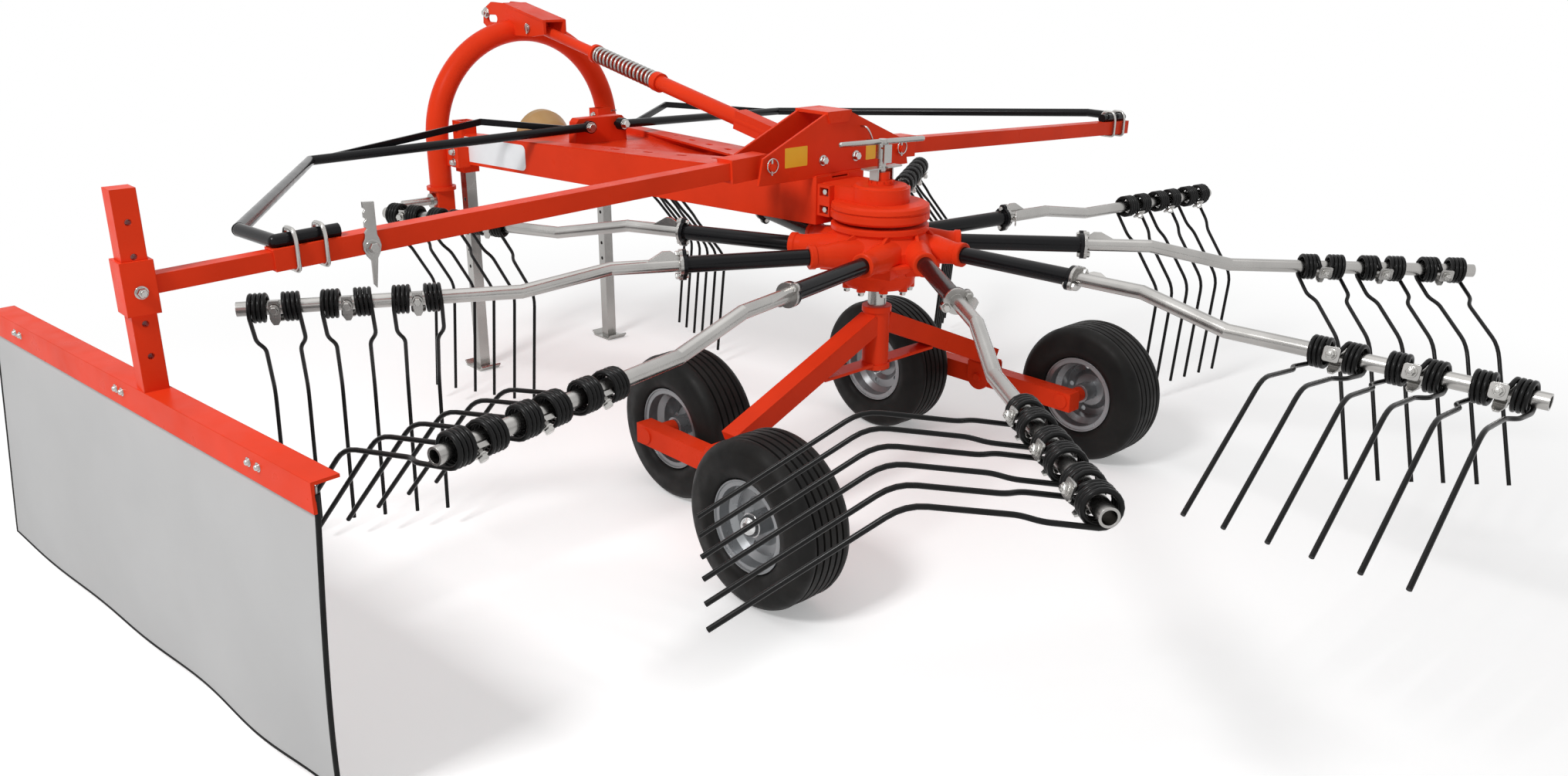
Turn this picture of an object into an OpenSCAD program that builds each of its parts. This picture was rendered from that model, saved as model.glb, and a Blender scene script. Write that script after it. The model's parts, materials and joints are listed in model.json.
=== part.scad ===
// Single rotor rotary hay rake for a tractor's three-point linkage.
// Units are millimetres. +X is the way of travel, +Y the machine's left, +Z up, ground at Z = 0.

/* [Wheels] */
// Outer diameter of each tyre
tyre_d = 411; // [360:1:460]
// Width of each tyre
tyre_w = 166; // [140:1:180]
// Diameter of the rim where the tyre's bead sits
rim_d = 203; // [180:1:220]
// Distance of the rear axles behind the rotor's axis
rear_axle_x = 280; // [260:1:340]
// Distance of the front axles ahead of the rotor's axis
front_axle_x = 317; // [300:1:380]
// Distance of each bogie beam from the middle of the machine
beam_y = 535; // [520:1:600]
// Sideways distance from a bogie beam to its wheels
wheel_offset = 125; // [122:1:150]

/* [Rotor] */
// Number of tine arms
arm_count = 9; // [7:1:11]
// Angle of the first arm, from +X
arm_start = 62.6; // [0:0.1:120]
// Height of the tine arms' axes
arm_z = 700; // [680:1:720]
// Sideways offset of an arm from the rotor's axis
arm_offset = 79; // [60:1:84]
// Outer diameter of the inner arm tubes
arm_tube_d = 43; // [38:0.5:46]
// Outer diameter of the tine bars
bar_d = 34; // [28:0.5:36]
// Distance of the arm joints from the rotor's axis
joint_r = 555; // [520:1:600]
// Distance of the tine bars' ends from the rotor's axis
bar_end_r = 1593; // [1540:1:1600]
// Angle by which the cam lifts an arm
lift_angle = 61.5; // [50:0.5:63]
// Angle round the rotor where the cam begins to lift an arm
cam_rise_start = 65; // [60:1:80]
// Angle round the rotor where an arm is fully lifted
cam_rise_end = 116; // [106:1:130]
// Angle round the rotor where the cam begins to lower an arm
cam_fall_start = 200; // [190:1:210]
// Angle round the rotor where an arm is down again
cam_fall_end = 250; // [240:1:260]

/* [Tines] */
// Double tines on each arm
tines_per_arm = 3; // [2:1:4]
// Distance between double tines along the bar
tine_pitch = 157; // [150:1:165]
// Diameter of the spring wire
wire_d = 9; // [7:0.5:9.5]
// Turns in each coil
coil_turns = 4; // [3:1:5]
// Height of the tine tips above the ground
tip_z = 58; // [40:1:90]

/* [Frame] */
// Height of the frame beams at the headstock
beam_front_h = 96; // [85:1:110]
// Height of the frame beams at the gearbox
beam_rear_h = 128; // [110:1:140]
// Height of the frame beams' lower edge
beam_base_z = 746; // [742:1:760]
// Half of the frame's width at the headstock
frame_front_y = 310; // [295:1:315]
// Height of the mast's top
mast_top_z = 1037; // [1010:1:1060]
// Half of the mast's width
mast_half_w = 290; // [275:1:310]

/* [Headstock] */
// Distance of the headstock ahead of the rotor's axis
arch_x = 1737; // [1730:1:1760]
// Distance of the headstock's legs from the middle
arch_leg_y = 355; // [350:1:370]
// Diameter of the headstock's tube
arch_d = 76; // [70:1:78]
// Height of the headstock's tube at its top
arch_top_z = 1175; // [1150:1:1200]
// Height of the lower link pins
link_z = 617; // [600:1:630]
// Diameter of the lower link pins
link_pin_d = 28; // [26:0.1:30]

/* [Stands] */
// Distance of the stands ahead of the rotor's axis
stand_x = 1674; // [1670:1:1676]
// Distance of each stand from the middle
stand_y = 283; // [275:1:288]
// Width of the stands' square tube
stand_w = 38; // [34:1:40]

/* [Booms and curtain] */
// Distance of the booms ahead of the rotor's axis
boom_x = 220; // [215:1:230]
// Distance of each boom's end from the middle
boom_end_y = 1525; // [1480:1:1540]
// Slope of the booms, down to the outside
boom_slope = 2.2; // [1:0.1:3]
// Distance of the curtain's post from the middle
post_y = 1772; // [1765:1:1800]
// Angle of the curtain, wider at the front
curtain_toe = 5.5; // [3:0.1:8]
// Height of the curtain rail's top
rail_z = 660; // [640:1:680]
// Height of the curtain's lower edge above the ground
curtain_gap = 30; // [20:1:60]

/* [Hidden] */
$fn = 48;
fit = 0.05;
run_gap = 0.5;
bracket_front = 172;
bracket_rear = 222;

red = [0.86, 0.20, 0.11];
black = [0.05, 0.05, 0.05];
zinc = [0.72, 0.72, 0.71];
rim_grey = [0.62, 0.63, 0.64];
rubber = [0.09, 0.09, 0.09];
curtain_grey = [0.78, 0.78, 0.78];
tan_guard = [0.70, 0.57, 0.36];

// Reach of the machine from the rotor's axis, which places the origin at the middle of its box
front_reach = arch_x + bracket_front;
rear_reach = bar_end_r + 7;
left_reach = post_y + 115;
right_reach = bar_end_r + 3;
rotor_x = (rear_reach - front_reach) / 2;
rotor_y = (right_reach - left_reach) / 2;

wheel_z = tyre_d / 2;
rear_wheel_y = beam_y + wheel_offset;
front_wheel_y = beam_y - wheel_offset;
axle_d = 25;
hub_len = 104;
hub_d = 56;
bead_half = 62;
flange_r = rim_d / 2 + 12;
drop_r = rim_d / 2 - 15;
drop_half = 20;
rim_t = 4;
shoulder_r = 34;
bogie_w = 50;
bogie_h = 56;
bogie_pivot_x = 20;
bogie_pin_d = 24;

arm_angles = [for (i = [0 : arm_count - 1]) arm_start + i * 360 / arm_count];
// Share of the full lift that the cam gives an arm at angle a
function cam_share(a) = a < cam_fall_start
    ? min(1, max(0, (a - cam_rise_start) / (cam_rise_end - cam_rise_start)))
    : max(0, (cam_fall_end - a) / (cam_fall_end - cam_fall_start));
socket_r = 223;
socket_root = 150;
neck_d = 58;
hub_r = 131;
hub_body_r = 150;
rib_t = 9;
flange_t = 10;
ear_y = 28;
ear_r = 12;
ear_hole_d = 11;
hub_top_z = 767;
hub_bottom_z = 597;
crank_start_r = joint_r + 180;
crank_end_r = joint_r + 400;
bar_side = 29;
bar_drop = 36;
coil_r = 26;
coil_len = coil_turns * wire_d;
clamp_gap = 26;
first_tine_r = bar_end_r - 82 - (tines_per_arm - 1) * tine_pitch;

gear_z = 775;
gear_r = 132;
column_d = 50;
centre_tube_d = 73;
centre_top_z = 533;
centre_base_z = 363;

beam_rear_x = 150;
beam_front_x = arch_x - 37;
frame_rear_y = 92;
beam_w = 60;
beam_run = beam_front_x - beam_rear_x;
// Distance of a beam's outer face from the middle, at distance x ahead of the rotor
function beam_outer_y(x) = frame_rear_y + (frame_front_y - frame_rear_y) * (x - beam_rear_x) / beam_run;
// Height of the beams' top at distance x ahead of the rotor
function beam_top_z(x) = beam_base_z + beam_rear_h + (beam_front_h - beam_rear_h) * (x - beam_rear_x) / beam_run;
notch_rear_x = 530;
notch_front_x = 1290;
slot_pitch = 126;
cross_front_x = beam_front_x - 150;
cross_t = 60;
deck_z = beam_base_z + 82;
deck_t = 6;
mast_base_z = beam_base_z + beam_rear_h;
mast_gap = 100;
mast_t = 8;
boom_w = 44;
boom_pivot_y = mast_half_w - 50;
boom_pivot_z = mast_base_z + 42;
boom_foot = [boom_x, boom_pivot_y, boom_pivot_z];
boom_pin_d = 20;
guard_pivot = [arch_x - 497, 65, beam_base_z + 147];
guard_pin_d = 16;
fold_axis = unit(guard_pivot - boom_foot);
drive_z = beam_base_z + 57;
drive_d = 34.9;
drive_tube_d = 42;
strut_pin_d = 20;
strut_rod_d = 34;
function unit(v) = v / norm(v);

// A round bar from a to b
module rod(a, b, d) {
    v = b - a;
    translate(a) rotate([0, acos(v[2] / norm(v)), atan2(v[1], v[0])])
        cylinder(d = d, h = norm(v));
}

// A square tube from a to b
module square_bar(a, b, w, h) {
    v = b - a;
    translate(a) rotate([0, acos(v[2] / norm(v)), atan2(v[1], v[0])])
        translate([-h / 2, -w / 2, 0]) cube([h, w, norm(v)]);
}

// A round tube through a list of points, with a ball at each bend
module pipe(points, d) {
    for (i = [0 : len(points) - 2]) rod(points[i], points[i + 1], d);
    for (i = [1 : len(points) - 2]) translate(points[i]) sphere(d = d * 1.01);
}

// A swept round wire, built ring by ring
module wire(points, d, sides = 8) {
    last = len(points) - 1;
    dirs = [for (i = [0 : last]) unit(points[min(i + 1, last)] - points[max(i - 1, 0)])];
    across = unit(cross([1, 0, 0], dirs[0]));
    rings = [for (i = [0 : last]) let (
        a = unit(across - dirs[i] * (across * dirs[i])), b = cross(dirs[i], a))
        for (k = [0 : sides - 1]) points[i] + d / 2 * (a * cos(360 * k / sides) + b * sin(360 * k / sides))];
    sides_faces = [for (i = [0 : last - 1], k = [0 : sides - 1]) let (n = (k + 1) % sides)
        [i * sides + k, (i + 1) * sides + k, (i + 1) * sides + n, i * sides + n]];
    polyhedron(rings, concat(sides_faces,
        [[for (k = [0 : sides - 1]) k]], [[for (k = [sides - 1 : -1 : 0]) last * sides + k]]));
}

// Places a shape given from the rotor's axis
module at_rotor() translate([rotor_x, rotor_y, 0]) children();
module both_sides() { children(); mirror([0, 1, 0]) children(); }

// Points along an arc about c, from angle a to angle b
function arc(c, r, a, b, steps) = [for (i = [0 : steps]) let (t = a + (b - a) * i / steps) c + r * [cos(t), sin(t)]];
// An outline of (radius, height) points above the middle, closed by its own mirror image below
function mirrored(upper) = concat(upper, [for (i = [len(upper) - 1 : -1 : 0]) [upper[i][0], -upper[i][1]]]);

module tyre() rotate([90, 0, 0]) rotate_extrude() polygon(mirrored(concat(
    arc([tyre_d / 2 - shoulder_r, tyre_w / 2 - shoulder_r - 5], shoulder_r, 0, 84, 6),
    [[rim_d / 2 + 36, tyre_w / 2], [flange_r + 8, tyre_w / 2 - 6], [flange_r + 2, bead_half + 3],
        [flange_r + 1, bead_half], [rim_d / 2, bead_half]])));

// Drop-centre rim with a dished disc, its hub and a domed cap, which points along -Y
module rim() rotate([90, 0, 0]) difference() {
    union() {
        rotate_extrude() polygon(mirrored([[drop_r, drop_half], [rim_d / 2, drop_half + 14], [rim_d / 2, bead_half],
            [flange_r, bead_half], [flange_r, bead_half + 7], [flange_r - rim_t, bead_half + 7],
            [flange_r - rim_t, bead_half + rim_t], [rim_d / 2 - rim_t, bead_half + rim_t],
            [rim_d / 2 - rim_t, drop_half + 16], [drop_r - rim_t, drop_half + 2]]));
        rotate_extrude() polygon([[hub_d / 2 - 2, 6], [46, 6], [60, 18], [drop_r - 1, 20], [drop_r - 1, 14],
            [62, 12], [48, 0], [hub_d / 2 - 2, 0]]);
        translate([0, 0, -hub_len / 2]) cylinder(d = hub_d, h = hub_len);
        translate([0, 0, hub_len / 2]) rotate_extrude() polygon(concat(
            [for (p = arc([0, 0], 1, 0, 90, 8)) [27 * p[0], 26 * p[1] - 0.5]],
            [for (p = arc([0, 0], 1, 90, 0, 8)) [24 * p[0], 23 * p[1] - 0.5]]));
    }
    translate([0, 0, -hub_len]) cylinder(d = axle_d + 2 * fit, h = 1.5 * hub_len);
    for (i = [0 : 4]) rotate([0, 0, 72 * i]) translate([70, 0, 0]) cylinder(d = 15, h = 30);
}
module rim_out(side) mirror([0, side > 0 ? 1 : 0, 0]) rim();

module at_wheel(x, y) at_rotor() translate([x, y, wheel_z]) children();
module tyre_rear_left() color(rubber) at_wheel(-rear_axle_x, rear_wheel_y) tyre();
module tyre_rear_right() color(rubber) at_wheel(-rear_axle_x, -rear_wheel_y) tyre();
module tyre_front_left() color(rubber) at_wheel(front_axle_x, front_wheel_y) tyre();
module tyre_front_right() color(rubber) at_wheel(front_axle_x, -front_wheel_y) tyre();
module rim_rear_left() color(rim_grey) at_wheel(-rear_axle_x, rear_wheel_y) rim_out(1);
module rim_rear_right() color(rim_grey) at_wheel(-rear_axle_x, -rear_wheel_y) rim_out(-1);
module rim_front_left() color(rim_grey) at_wheel(front_axle_x, front_wheel_y) rim_out(-1);
module rim_front_right() color(rim_grey) at_wheel(front_axle_x, -front_wheel_y) rim_out(1);

// Stub axle across a bogie beam, with its nut inside the wheel's cap
module stub_axle() {
    translate([0, 0, -bogie_w / 2 - 4]) cylinder(d = 44, h = wheel_offset - hub_len / 2 - 2 + bogie_w / 2 + 4);
    cylinder(d = axle_d, h = wheel_offset + hub_len / 2 + 4);
    translate([0, 0, wheel_offset + hub_len / 2 + 2]) cylinder(d = 36, h = 8);
}
// Bogie beam with its two stub axles, for the left side
module bogie() {
    difference() {
        translate([-rear_axle_x - 32, beam_y - bogie_w / 2, wheel_z - bogie_h / 2])
            cube([rear_axle_x + front_axle_x + 72, bogie_w, bogie_h]);
        translate([bogie_pivot_x, beam_y, wheel_z]) rotate([90, 0, 0])
            cylinder(d = bogie_pin_d + 2 * fit, h = 4 * bogie_w, center = true);
    }
    translate([-rear_axle_x, beam_y, wheel_z]) rotate([-90, 0, 0]) stub_axle();
    translate([front_axle_x, beam_y, wheel_z]) rotate([90, 0, 0]) stub_axle();
}
module bogie_left() color(red) at_rotor() bogie();
module bogie_right() color(red) at_rotor() mirror([0, 1, 0]) bogie();

// Cheek of a bogie bracket: a flat plate, round at its foot
module cheek(y) translate([bogie_pivot_x, y, wheel_z]) rotate([90, 0, 0]) linear_extrude(8, center = true) {
    circle(r = 40);
    translate([-40, 0]) square([80, 46]);
}

module axle_frame() color(red) at_rotor() {
    difference() {
        union() {
            translate([0, 0, centre_base_z]) cylinder(d = centre_tube_d, h = centre_top_z - centre_base_z);
            translate([0, 0, centre_top_z - 12]) cylinder(d = centre_tube_d + 8, h = 16);
            translate([0, 0, centre_base_z - 4]) cylinder(d = centre_tube_d + 10, h = 14);
            both_sides() {
                square_bar([0, 20, centre_top_z - 42], [0, beam_y - 8, wheel_z + 69], 55, 55);
                translate([-25, 30, centre_base_z + 6]) cube([50, 190, 8]);
            }
        }
        translate([0, 0, centre_base_z - 20]) cylinder(d = column_d, h = 300);
    }
    both_sides() {
        for (s = [-1, 1]) cheek(beam_y + s * (bogie_w / 2 + 5.5));
        translate([bogie_pivot_x - 38, beam_y - bogie_w / 2 - 8, wheel_z + bogie_h / 2 + 11])
            cube([76, bogie_w + 16, 12]);
        translate([bogie_pivot_x, beam_y, wheel_z]) rotate([90, 0, 0])
            cylinder(d = bogie_pin_d, h = bogie_w + 36, center = true);
    }
}

module column() color(zinc) at_rotor()
    translate([0, 0, centre_base_z]) cylinder(d = column_d, h = gear_z - centre_base_z);

// Two-tier lower disc, D-shaped housing, bolt flanges at the frame, notched ring and screw boss
gear_flange_y = 88;
module gearbox() color(red) at_rotor() difference() {
    union() {
        translate([0, 0, gear_z]) rotate_extrude() polygon([[0, 0], [122, 0], [gear_r, 7], [gear_r, 24],
            [gear_r - 4, 26], [gear_r - 4, 29], [gear_r, 31], [gear_r - 2, 42], [gear_r - 12, 47], [0, 50]]);
        translate([0, 0, gear_z + 40]) cylinder(r = 78, h = 46);
        translate([0, 0, gear_z + 80]) cylinder(r1 = 77, r2 = 68, h = 12);
        translate([0, -70, gear_z + 10]) cube([beam_rear_x, 140, 74]);
        both_sides() translate([beam_rear_x - 46, 60, gear_z - 2]) cube([46, gear_flange_y - 60, 84]);
        translate([0, 0, gear_z + 86]) cylinder(d = 70, h = 18);
        translate([0, 0, gear_z + 100]) cylinder(d = 46, h = 25);
    }
    for (i = [0 : 11]) rotate([0, 0, 30 * i]) translate([32, -4, gear_z + 97]) cube([10, 8, 20]);
    both_sides() for (z = [4, 52]) translate([beam_rear_x - 41, gear_flange_y - 16, gear_z + z])
        cube([32, 40, 22]);
}

// Screw, nut, T handle and two bent latch plates on top of the gearbox
handle_turn = -12;
handle_len = 260;
module height_crank() color(zinc) at_rotor() {
    translate([0, 0, gear_z + 125]) cylinder(d = 22, h = 50);
    translate([0, 0, gear_z + 160]) cylinder(d = 32, h = 38);
    translate([0, 0, gear_z + 196]) cylinder(d = 22, h = 14);
    rotate([0, 0, handle_turn]) {
        translate([0, 0, gear_z + 203]) rotate([90, 0, 0]) cylinder(d = 14, h = handle_len, center = true);
        for (s = [-1, 1]) translate([0, s * handle_len / 2, gear_z + 203]) sphere(d = 14);
        translate([-26, -12, gear_z + 150]) cube([5, 24, 48]);
        translate([-26, -12, gear_z + 186]) cube([26, 24, 5]);
    }
    for (s = [-1, 1]) translate([-15, s > 0 ? 26 : -30, gear_z + 104]) {
        cube([30, 4, 34]);
        translate([0, s > 0 ? -18 : 0, 30]) cube([30, 22, 4]);
        translate([0, s > 0 ? 0 : -34, 30]) cube([30, 38, 4]);
    }
}

// Region between two heights measured from the beams' sloping top
module under_top(low, high) rotate([90, 0, 0]) linear_extrude(2000, center = true) polygon([
    [beam_rear_x - 10, beam_top_z(beam_rear_x - 10) + low], [beam_front_x + 10, beam_top_z(beam_front_x + 10) + low],
    [beam_front_x + 10, beam_top_z(beam_front_x + 10) + high],
    [beam_rear_x - 10, beam_top_z(beam_rear_x - 10) + high]]);

module frame_beam() intersection() {
    translate([0, 0, beam_base_z]) linear_extrude(2 * beam_rear_h) polygon([
        [beam_rear_x, frame_rear_y - beam_w], [beam_rear_x, frame_rear_y],
        [beam_front_x, frame_front_y], [beam_front_x, frame_front_y - beam_w]]);
    under_top(-2 * beam_rear_h, 0);
}

// Top plate of one side, which leaves a notch in the middle towards the front, with its row of slots
module frame_top() difference() {
    intersection() {
        translate([0, 0, beam_base_z]) linear_extrude(2 * beam_rear_h) polygon([
            [beam_rear_x + 4, -1], [beam_rear_x + 4, frame_rear_y - 3],
            [beam_front_x - 6, frame_front_y - 4], [beam_front_x - 6, frame_front_y - beam_w + 8],
            [notch_front_x, beam_outer_y(notch_front_x) - beam_w], [notch_rear_x, -1]]);
        under_top(-4, 3);
    }
    for (i = [0 : 3]) translate([977 - i * slot_pitch, 154 - i * 0.247 * slot_pitch, 0]) rotate([0, 0, 14])
        linear_extrude(2000) {
            square([20, 16], center = true);
            for (s = [-1, 1]) translate([s * 10, 0]) circle(d = 16);
        }
}

// Upright block that carries the inner ends of both guards
block_x = guard_pivot[0] + 27;
block_t = 42;
module guard_block() difference() {
    translate([block_x, 0, 0]) rotate([90, 0, 90]) linear_extrude(block_t) polygon([
        [-104, deck_z + 3], [-98, beam_base_z + 160], [-86, beam_base_z + 172],
        [86, beam_base_z + 172], [98, beam_base_z + 160], [104, deck_z + 3]]);
    both_sides() rod(guard_pivot - fold_axis * 50, guard_pivot + fold_axis * 120, guard_pin_d);
}

sleeve_top_z = beam_base_z + 144;
module main_frame() color(red) at_rotor() difference() {
    union() {
        both_sides() {
            frame_beam();
            frame_top();
            translate([stand_x - 29, stand_y - 29, beam_base_z - 30]) cube([58, 58, sleeve_top_z - beam_base_z + 30]);
            translate([arch_x - 112, frame_front_y - 12, beam_base_z - 8])
                cube([127, arch_leg_y - frame_front_y, 68]);
        }
        translate([0, 0, deck_z]) linear_extrude(deck_t) polygon([
            [beam_rear_x + 8, frame_rear_y - 10], [cross_front_x - 20, beam_outer_y(cross_front_x) - 16],
            [cross_front_x - 20, 16 - beam_outer_y(cross_front_x)], [beam_rear_x + 8, 10 - frame_rear_y]]);
        translate([beam_rear_x, 5 - frame_rear_y, beam_base_z + 3]) cube([20, 2 * frame_rear_y - 10, beam_rear_h - 11]);
        translate([cross_front_x - cross_t, 30 - beam_outer_y(cross_front_x), beam_base_z + 5])
            cube([cross_t, 2 * beam_outer_y(cross_front_x) - 60, beam_front_h - 12]);
        guard_block();
    }
    both_sides() {
        translate([stand_x, stand_y, 0]) cube([stand_w + 2 * run_gap, stand_w + 2 * run_gap, 3000], center = true);
    }
    arch_tube();
    translate([beam_rear_x - 1, 0, drive_z]) rotate([0, 90, 0]) cylinder(d = drive_tube_d, h = 22);
    translate([cross_front_x - 120, 0, drive_z]) rotate([0, 90, 0]) cylinder(d = drive_d, h = 200);
}

cap_half = 46;
mast_foot_z = mast_base_z - 3;
cap_t = 5;
module mast_plate() rotate([90, 0, 90]) linear_extrude(mast_t) polygon([
    [-mast_half_w, mast_foot_z], [16 - mast_half_w, mast_base_z + 66], [-cap_half, mast_top_z],
    [cap_half, mast_top_z], [mast_half_w - 16, mast_base_z + 66], [mast_half_w, mast_foot_z]]);

// Lug in front of the mast for the strut's rear eye
module strut_lug(y) translate([0, y, 0]) rotate([90, 0, 0]) linear_extrude(10, center = true) {
    translate([strut_eye[0], strut_eye[2]]) circle(r = 30);
    polygon([[boom_x + mast_gap / 2 + 4, mast_base_z + 14], [strut_eye[0] + 4, strut_eye[2] - 29],
        [strut_eye[0] + 4, strut_eye[2] + 29], [boom_x + mast_gap / 2 + 4, mast_base_z + 128]]);
}

module mast() color(red) at_rotor() difference() {
    union() {
        translate([boom_x - mast_gap / 2 - mast_t, 0, 0]) mast_plate();
        translate([boom_x + mast_gap / 2, 0, 0]) mast_plate();
        translate([boom_x - mast_gap / 2 - mast_t - cap_t, -cap_half, mast_top_z - 4])
            cube([mast_gap + 2 * (mast_t + cap_t), 2 * cap_half, cap_t + 4]);
        for (x = [boom_x - mast_gap / 2 - mast_t - cap_t, boom_x + mast_gap / 2 + mast_t])
            translate([x, 0, 0]) rotate([90, 0, 90]) linear_extrude(cap_t) polygon([
                [-cap_half, mast_top_z], [10 - cap_half, mast_top_z - 26],
                [cap_half - 10, mast_top_z - 26], [cap_half, mast_top_z]]);
        translate([boom_x - mast_gap / 2 - 4, -100, mast_foot_z]) cube([mast_gap + 8, 200, 12]);
        for (s = [-1, 1]) strut_lug(s * 32);
    }
    both_sides() {
        rod(boom_foot - fold_axis * 150, boom_foot + fold_axis * 150, boom_pin_d);
        frame_beam();
        frame_top();
    }
    translate(strut_eye) rotate([90, 0, 0]) cylinder(d = strut_pin_d, h = 200, center = true);
}

// Tube bent into an arch, from the collar on one leg to the collar on the other
collar_z = link_z + 42;
clevis_w = 62;
module arch_tube() {
    bend_z = arch_top_z - arch_leg_y;
    translate([arch_x, 0, bend_z]) rotate([90, 0, 90]) rotate_extrude(angle = 180)
        translate([arch_leg_y, 0]) circle(d = arch_d);
    both_sides() translate([arch_x, arch_leg_y, collar_z]) cylinder(d = arch_d, h = bend_z - collar_z);
}

// Cheek of the top bracket, seen from the side, with the slot for a top link
bracket_base_z = arch_top_z - 4;
module bracket_cheek() rotate([90, 0, 0]) linear_extrude(10, center = true) difference() {
    polygon([[arch_x - bracket_rear, bracket_base_z], [arch_x - bracket_rear, arch_top_z + 42],
        [arch_x + 30, arch_top_z + 90], [arch_x + bracket_front - 60, arch_top_z + 92],
        [arch_x + bracket_front - 6, arch_top_z + 66], [arch_x + bracket_front, arch_top_z + 18],
        [arch_x + bracket_front - 52, bracket_base_z - 8], [arch_x, bracket_base_z - 12],
        [arch_x - bracket_rear + 80, bracket_base_z - 10]]);
    translate([arch_x + bracket_front - 84, arch_top_z + 36]) circle(d = 26);
    translate([arch_x + bracket_front - 40, arch_top_z + 36]) circle(d = 26);
    translate([arch_x + bracket_front - 84, arch_top_z + 23]) square([44, 26]);
}

// Folded top of the bracket, which slopes down to the rear
module bracket_cap() rotate([90, 0, 0]) linear_extrude(92, center = true) polygon([
    [arch_x - bracket_rear + 3, arch_top_z + 36], [arch_x - bracket_rear + 3, arch_top_z + 44],
    [arch_x + 28, arch_top_z + 92], [arch_x + 28, arch_top_z + 84]]);

module headstock_arch() color(red) at_rotor() difference() {
    union() {
        arch_tube();
        for (s = [-1, 1]) translate([0, s * 40, 0]) bracket_cheek();
        bracket_cap();
        both_sides() translate([arch_x, arch_leg_y, 0]) {
            translate([0, 0, collar_z - 6]) cylinder(d = arch_d + 24, h = 12);
            translate([-clevis_w / 2, -clevis_w / 2, link_z - 50]) cube([clevis_w, clevis_w, collar_z - link_z + 48]);
        }
    }
    both_sides() translate([arch_x, arch_leg_y, link_z - 60]) translate([-11, -60, 0]) cube([22, 120, 34]);
    translate(strut_top) rotate([90, 0, 0]) cylinder(d = strut_pin_d, h = 200, center = true);
}

module hitch_pins() color(zinc) at_rotor() both_sides()
    translate([arch_x, arch_leg_y + clevis_w / 2, link_z]) rotate([-90, 0, 0]) {
        cylinder(d = 52, h = 14);
        cylinder(d = link_pin_d, h = 119);
    }

// Sprung top strut: tube with a yoke, rod, open coil and pins
strut_top = [arch_x - 122, 0, arch_top_z + 13];
strut_eye = [boom_x + mast_gap / 2 + 110, 0, mast_base_z + 70];
strut_dir = unit(strut_top - strut_eye);
strut_len = norm(strut_top - strut_eye);
function on_strut(share) = strut_eye + strut_dir * (strut_len * share);
tube_end = 0.47;
spring_end = 0.72;
spring_d = 56;

module strut_eye_end(p) difference() {
    union() {
        translate(p) rotate([90, 0, 0]) cylinder(d = 50, h = 48, center = true);
        children();
    }
    translate(p) rotate([90, 0, 0]) cylinder(d = strut_pin_d, h = 200, center = true);
}
strut_tube_d = 46;
module top_strut() color(red) at_rotor() difference() {
    strut_eye_end(strut_eye) {
        rod(on_strut(0), on_strut(tube_end), strut_tube_d);
        square_bar(on_strut(0.012), on_strut(0.15), 44, 54);
        rod(on_strut(tube_end - 0.02), on_strut(tube_end), strut_tube_d + 14);
    }
    rod(on_strut(tube_end - 0.1), on_strut(tube_end + 0.1), strut_rod_d);
}
module strut_rod() color(red) at_rotor() strut_eye_end(strut_top) {
    rod(on_strut(tube_end - 0.08), on_strut(1), strut_rod_d);
    rod(on_strut(spring_end), on_strut(spring_end + 0.012), 60);
}
module strut_spring() color(zinc) at_rotor() difference() {
    rod(on_strut(tube_end), on_strut(spring_end), spring_d);
    rod(on_strut(tube_end - 0.1), on_strut(spring_end + 0.1), strut_rod_d);
}
module strut_pins() color(zinc) at_rotor() {
    translate(strut_eye) rotate([90, 0, 0]) cylinder(d = strut_pin_d, h = 94, center = true);
    translate(strut_top) rotate([90, 0, 0]) cylinder(d = strut_pin_d, h = 104, center = true);
}

// Drive shaft under the deck, with a bell-shaped shield round its stub
module pto_shaft() color(zinc) at_rotor() translate([beam_rear_x, 0, drive_z]) rotate([0, 90, 0]) {
    cylinder(d = drive_tube_d, h = cross_front_x - beam_rear_x - cross_t - 20);
    cylinder(d = drive_d, h = beam_run);
}
module pto_guard() color(tan_guard) at_rotor()
    translate([cross_front_x, 0, drive_z]) rotate([0, 90, 0]) rotate_extrude()
        polygon([[24, 0], [62, 0], [72, 8], [104, 66], [107, 90], [103, 90], [100, 67], [69, 12], [60, 5], [24, 5]]);

// Stand: square tube with a row of holes, on a foot whose ends turn up
stand_wall = 4;
module stand(s) at_rotor() translate([stand_x, s * stand_y, 0]) {
    difference() {
        translate([-stand_w / 2, -stand_w / 2, 3]) cube([stand_w, stand_w, sleeve_top_z - 14]);
        translate([-stand_w / 2 + stand_wall, -stand_w / 2 + stand_wall, 8])
            cube([stand_w - 2 * stand_wall, stand_w - 2 * stand_wall, sleeve_top_z]);
        for (i = [0 : 6]) translate([0, 0, 260 + 60 * i]) rotate([90, 0, 0])
            cylinder(d = 13, h = 2 * stand_w, center = true);
    }
    rotate([90, 0, 0]) linear_extrude(76, center = true) polygon([[-62, 16], [-46, 0], [46, 0], [62, 16],
        [58, 20], [43, 6], [-43, 6], [-58, 20]]);
}
module stand_left() color(zinc) stand(1);
module stand_right() color(zinc) stand(-1);

// Places an arm as the cam holds it; its own X runs outwards
module at_arm(i) translate([0, 0, arm_z]) rotate([0, 0, arm_angles[i]]) translate([0, arm_offset, 0])
    rotate([-lift_angle * cam_share(arm_angles[i]), 0, 0]) children();
module at_socket(i) translate([0, 0, arm_z]) rotate([0, 0, arm_angles[i]]) translate([0, arm_offset, 0]) children();

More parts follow.
